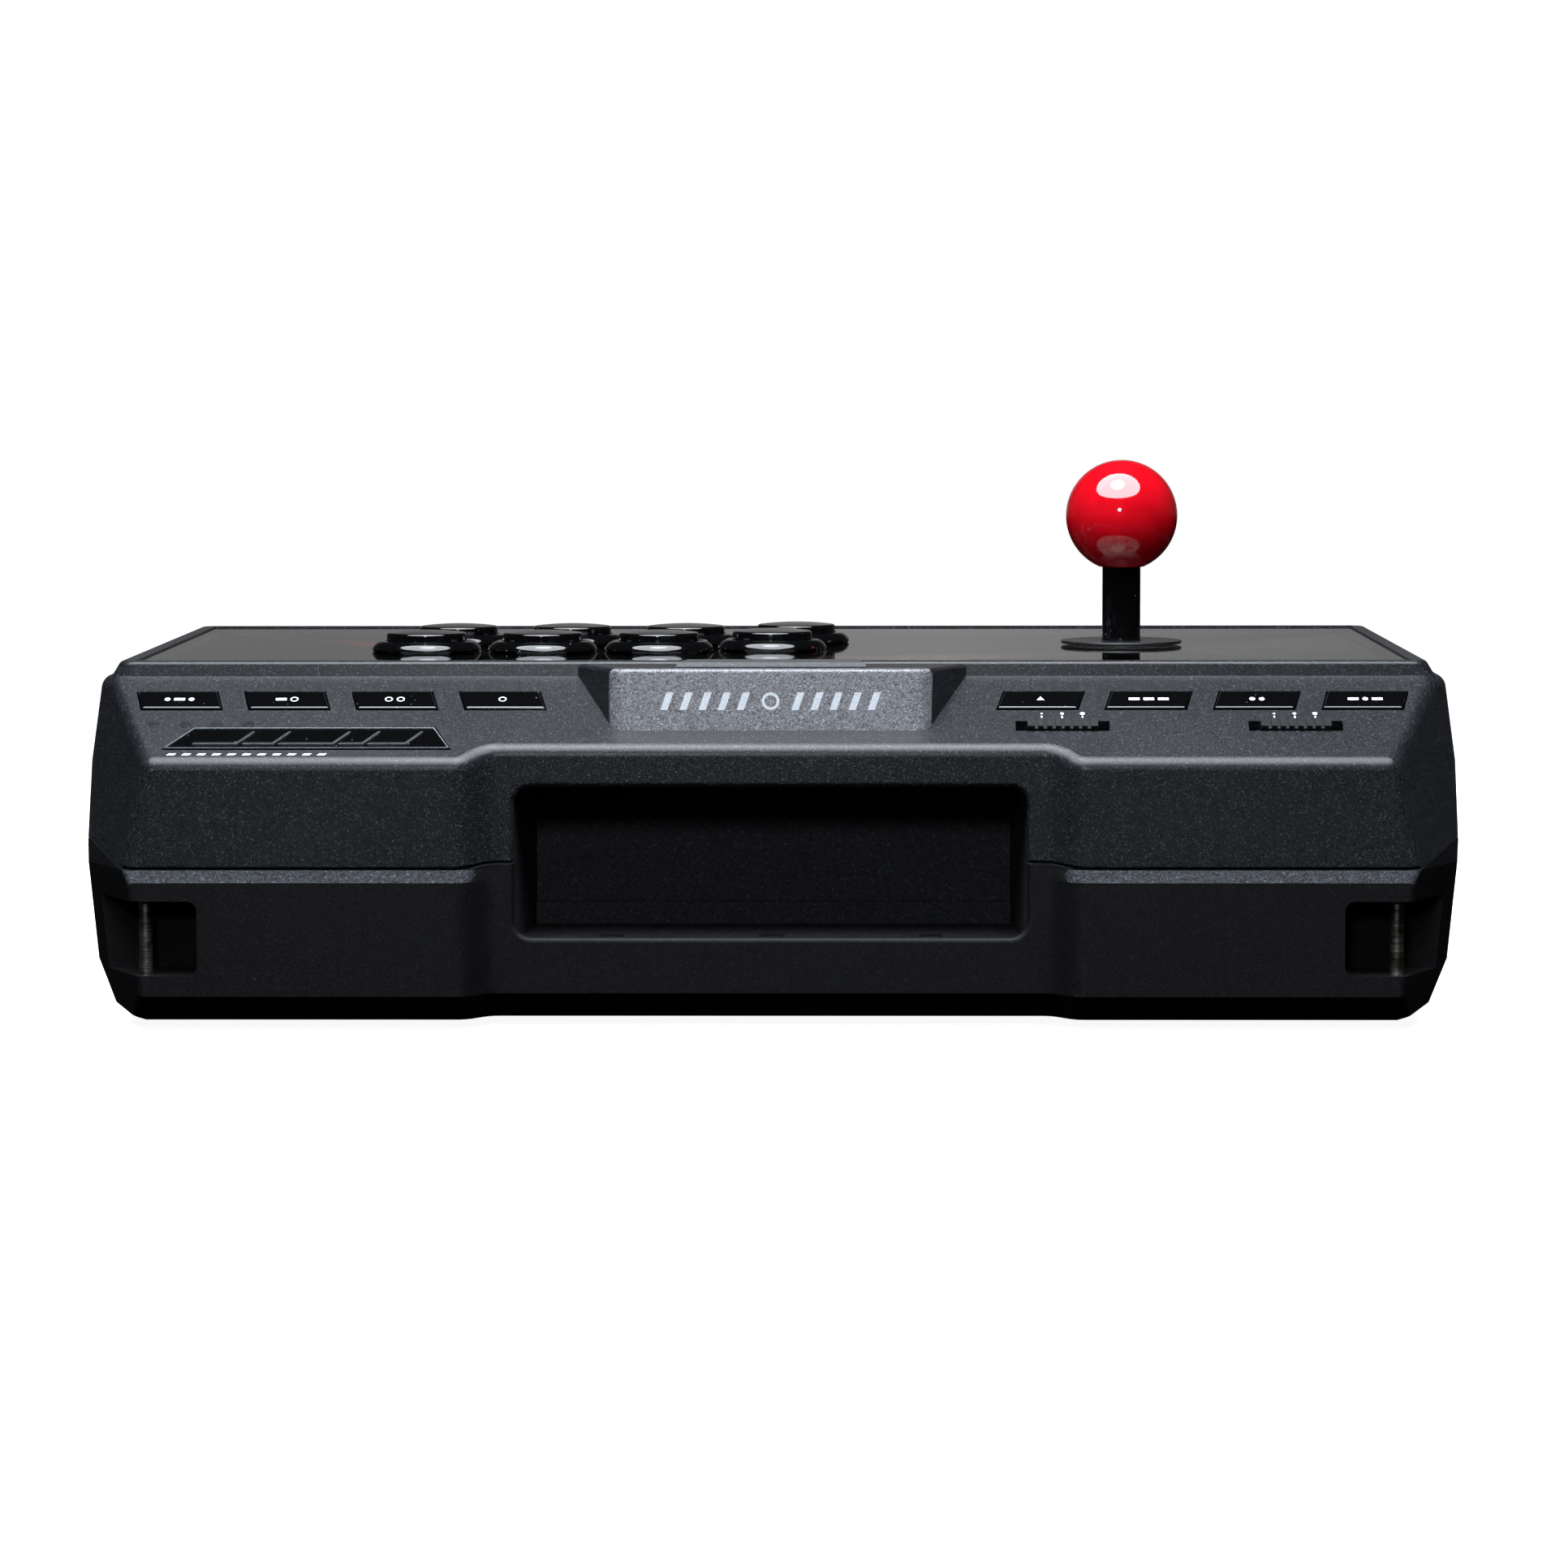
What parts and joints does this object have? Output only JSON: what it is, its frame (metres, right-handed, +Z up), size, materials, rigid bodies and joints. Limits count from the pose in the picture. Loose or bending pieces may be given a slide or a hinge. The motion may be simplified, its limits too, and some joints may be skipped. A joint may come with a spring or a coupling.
{
  "type": "arcade stick",
  "caption": "Table-top arcade joystick panel with a ball-top lever, push buttons, a sloping strip of function keys and a rear cable bay.",
  "frame": {"origin": "centre of the footprint, on the surface the feet stand on", "axes": "+X to the player's right, +Y to the back where the cable bay is, +Z up"},
  "size_m": [0.4072, 0.252, 0.1637],
  "materials": {
    "textured_abs": "fine spark-eroded black moulding",
    "gloss_black": "polished black moulding",
    "key_plastic": "satin black moulding",
    "pad_plastic": "fine textured dark grey",
    "red_phenolic": "polished red",
    "clear_acrylic": "clear, polished",
    "printed_sheet": "plain dark grey print",
    "plate_steel": "black powder coat",
    "bright_steel": "turned, bright",
    "zinc_steel": "zinc plated",
    "black_steel": "black oxide",
    "foot_rubber": "soft black",
    "circuit_board": "green solder mask",
    "switch_plastic": "moulded black",
    "pivot_nylon": "natural nylon",
    "gate_plastic": "moulded dark grey"
  },
  "bodies": {
    "case": {"top_shell": "textured_abs", "bottom_shell": "textured_abs", "cable_bay": "textured_abs", "bay_screws": "black_steel", "case_screws": "zinc_steel", "rubber_feet": "foot_rubber", "strap_post_right": "bright_steel", "strap_post_left": "bright_steel", "main_board": "circuit_board", "usb_inlet": "gloss_black", "panel_plate": "plate_steel", "art_sheet": "printed_sheet", "clear_cover": "clear_acrylic", "panel_screws": "black_steel", "button_housings": "gloss_black", "button_switches": "switch_plastic", "key_boards": "circuit_board", "slide_switch_bodies": "switch_plastic", "led_lenses": "gloss_black", "badge_inlay": "gloss_black", "lever_mount_plate": "plate_steel", "lever_screws": "zinc_steel", "lever_body": "switch_plastic", "restrictor_gate": "gate_plastic", "lever_board": "circuit_board", "lever_switches": "switch_plastic"},
    "button_1": {"button_plunger_1": "gloss_black"},
    "button_2": {"button_plunger_2": "gloss_black"},
    "button_3": {"button_plunger_3": "gloss_black"},
    "button_4": {"button_plunger_4": "gloss_black"},
    "button_5": {"button_plunger_5": "gloss_black"},
    "button_6": {"button_plunger_6": "gloss_black"},
    "button_7": {"button_plunger_7": "gloss_black"},
    "button_8": {"button_plunger_8": "gloss_black"},
    "key_1": {"function_key_1": "gloss_black"},
    "key_2": {"function_key_2": "gloss_black"},
    "key_3": {"function_key_3": "gloss_black"},
    "key_4": {"function_key_4": "gloss_black"},
    "key_5": {"function_key_5": "gloss_black"},
    "key_6": {"function_key_6": "gloss_black"},
    "key_7": {"function_key_7": "gloss_black"},
    "key_8": {"function_key_8": "gloss_black"},
    "knob_1": {"slide_knob_1": "key_plastic"},
    "knob_2": {"slide_knob_2": "key_plastic"},
    "pad": {"touch_pad": "pad_plastic"},
    "lever_gimbal": {"spring_retainer": "zinc_steel"},
    "lever": {"ball_top": "red_phenolic", "lever_shaft": "bright_steel", "shaft_cover": "gloss_black", "pivot_ball": "pivot_nylon", "lever_spring": "bright_steel", "actuator": "pivot_nylon", "e_clip": "zinc_steel"},
    "washer_glide": {"glide_ring": "switch_plastic"},
    "washer": {"dust_washer": "gloss_black"}
  },
  "joints": [
    {"name": "press_button_1", "type": "slide", "parent": "case", "child": "button_1", "axis": [0, 0, -1], "range_m": [0, 0.0025], "stiffness_N_per_m": 240, "springref_m": -0.002},
    {"name": "press_button_2", "type": "slide", "parent": "case", "child": "button_2", "axis": [0, 0, -1], "range_m": [0, 0.0025], "stiffness_N_per_m": 240, "springref_m": -0.002},
    {"name": "press_button_3", "type": "slide", "parent": "case", "child": "button_3", "axis": [0, 0, -1], "range_m": [0, 0.0025], "stiffness_N_per_m": 240, "springref_m": -0.002},
    {"name": "press_button_4", "type": "slide", "parent": "case", "child": "button_4", "axis": [0, 0, -1], "range_m": [0, 0.0025], "stiffness_N_per_m": 240, "springref_m": -0.002},
    {"name": "press_button_5", "type": "slide", "parent": "case", "child": "button_5", "axis": [0, 0, -1], "range_m": [0, 0.0025], "stiffness_N_per_m": 240, "springref_m": -0.002},
    {"name": "press_button_6", "type": "slide", "parent": "case", "child": "button_6", "axis": [0, 0, -1], "range_m": [0, 0.0025], "stiffness_N_per_m": 240, "springref_m": -0.002},
    {"name": "press_button_7", "type": "slide", "parent": "case", "child": "button_7", "axis": [0, 0, -1], "range_m": [0, 0.0025], "stiffness_N_per_m": 240, "springref_m": -0.002},
    {"name": "press_button_8", "type": "slide", "parent": "case", "child": "button_8", "axis": [0, 0, -1], "range_m": [0, 0.0025], "stiffness_N_per_m": 240, "springref_m": -0.002},
    {"name": "press_key_1", "type": "slide", "parent": "case", "child": "key_1", "axis": [0, -0.5, -0.866], "range_m": [0, 0.0008], "stiffness_N_per_m": 800, "springref_m": -0.0006},
    {"name": "press_key_2", "type": "slide", "parent": "case", "child": "key_2", "axis": [0, -0.5, -0.866], "range_m": [0, 0.0008], "stiffness_N_per_m": 800, "springref_m": -0.0006},
    {"name": "press_key_3", "type": "slide", "parent": "case", "child": "key_3", "axis": [0, -0.5, -0.866], "range_m": [0, 0.0008], "stiffness_N_per_m": 800, "springref_m": -0.0006},
    {"name": "press_key_4", "type": "slide", "parent": "case", "child": "key_4", "axis": [0, -0.5, -0.866], "range_m": [0, 0.0008], "stiffness_N_per_m": 800, "springref_m": -0.0006},
    {"name": "press_key_5", "type": "slide", "parent": "case", "child": "key_5", "axis": [0, -0.5, -0.866], "range_m": [0, 0.0008], "stiffness_N_per_m": 800, "springref_m": -0.0006},
    {"name": "press_key_6", "type": "slide", "parent": "case", "child": "key_6", "axis": [0, -0.5, -0.866], "range_m": [0, 0.0008], "stiffness_N_per_m": 800, "springref_m": -0.0006},
    {"name": "press_key_7", "type": "slide", "parent": "case", "child": "key_7", "axis": [0, -0.5, -0.866], "range_m": [0, 0.0008], "stiffness_N_per_m": 800, "springref_m": -0.0006},
    {"name": "press_key_8", "type": "slide", "parent": "case", "child": "key_8", "axis": [0, -0.5, -0.866], "range_m": [0, 0.0008], "stiffness_N_per_m": 800, "springref_m": -0.0006},
    {"name": "slide_knob_1", "type": "slide", "parent": "case", "child": "knob_1", "axis": [1, 0, 0], "range_m": [-0.003, 0.003]},
    {"name": "slide_knob_2", "type": "slide", "parent": "case", "child": "knob_2", "axis": [1, 0, 0], "range_m": [-0.003, 0.003]},
    {"name": "press_touch_pad", "type": "slide", "parent": "case", "child": "pad", "axis": [0, 0, -1], "range_m": [0, 0.0005], "stiffness_N_per_m": 2000, "springref_m": -0.0004},
    {"name": "lever_pitch", "type": "hinge", "parent": "case", "child": "lever_gimbal", "pos_m": [-0.1086, -0.0106, 0.0886], "axis": [1, 0, 0], "range_deg": [-9, 9], "stiffness_Nm_per_rad": 0.6},
    {"name": "lever_roll", "type": "hinge", "parent": "lever_gimbal", "child": "lever", "pos_m": [-0.1086, -0.0106, 0.0886], "axis": [0, 1, 0], "range_deg": [-9, 9], "stiffness_Nm_per_rad": 0.6},
    {"name": "washer_slide_y", "type": "slide", "parent": "case", "child": "washer_glide", "axis": [0, 1, 0], "range_m": [-0.00285, 0.00285]},
    {"name": "washer_slide_x", "type": "slide", "parent": "washer_glide", "child": "washer", "axis": [1, 0, 0], "range_m": [-0.00285, 0.00285]}
  ],
  "couplings": [
    {"joint": "washer_slide_y", "follows": "lever_pitch", "m_per_rad": -0.0179},
    {"joint": "washer_slide_x", "follows": "lever_roll", "m_per_rad": 0.0179}
  ]
}
